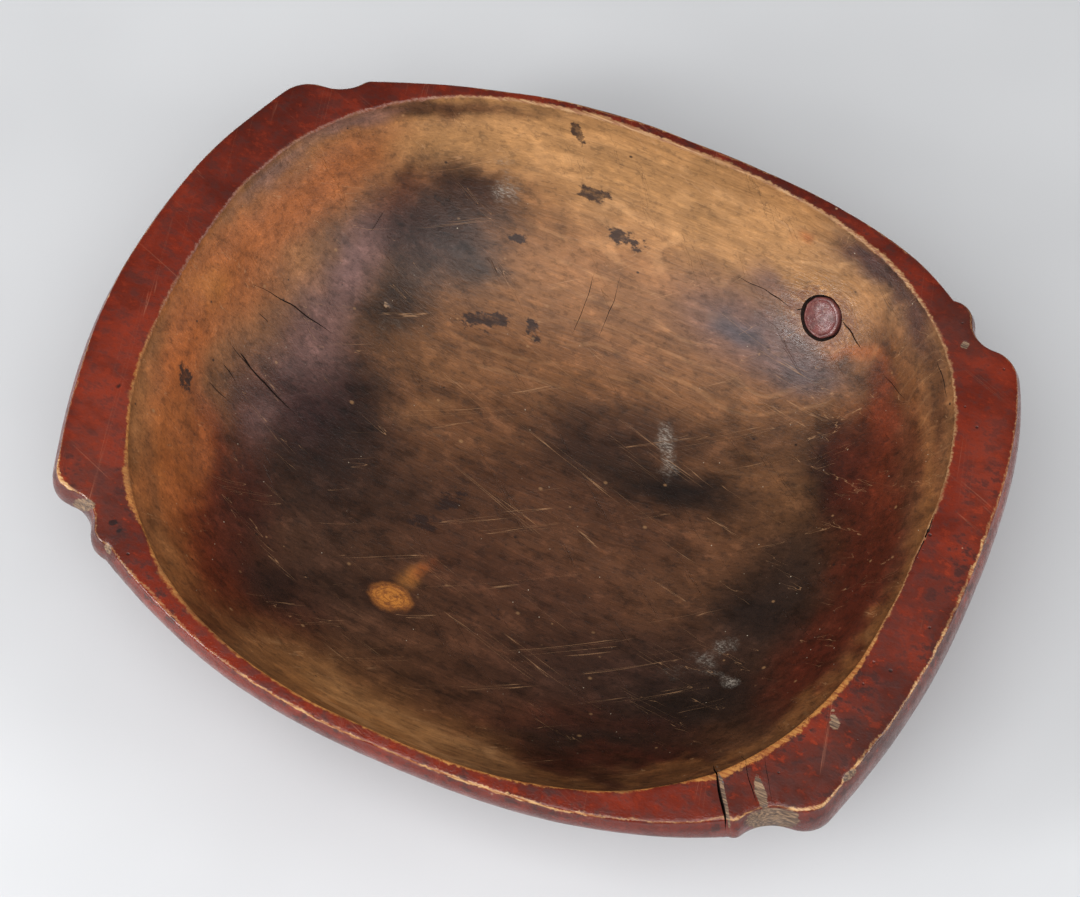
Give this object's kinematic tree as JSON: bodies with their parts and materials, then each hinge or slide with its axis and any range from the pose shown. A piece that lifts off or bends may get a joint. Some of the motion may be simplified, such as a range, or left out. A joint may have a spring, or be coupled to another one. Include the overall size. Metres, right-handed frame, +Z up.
{
  "type": "painted wooden trough",
  "caption": "Wide oval trough hollowed from one block of wood, painted outside and bare inside, with a shouldered ledge handle at each end and a whittled plug stopping a knot hole in the wall.",
  "frame": {"origin": "middle of the flat underside, under the middle of the trough's length and width", "axes": "+X along the trough, from handle to handle; +Y across it, to the wall with the plug; +Z up"},
  "size_m": [0.6052, 0.493, 0.145],
  "materials": {
    "painted_wood": "old red paint, worn through to bare wood at the edges; the hollow is bare, stained and handled smooth",
    "plug_wood": "whittled wood, darkened and handled to a low gloss"
  },
  "bodies": {
    "trough": {"trough_body": "painted_wood"},
    "plug": {"knot_plug": "plug_wood"}
  },
  "joints": [
    {"name": "plug_slide", "type": "slide", "parent": "trough", "child": "plug", "axis": [-0.376, -0.6635, 0.6469], "range_m": [0, 0.04]}
  ]
}
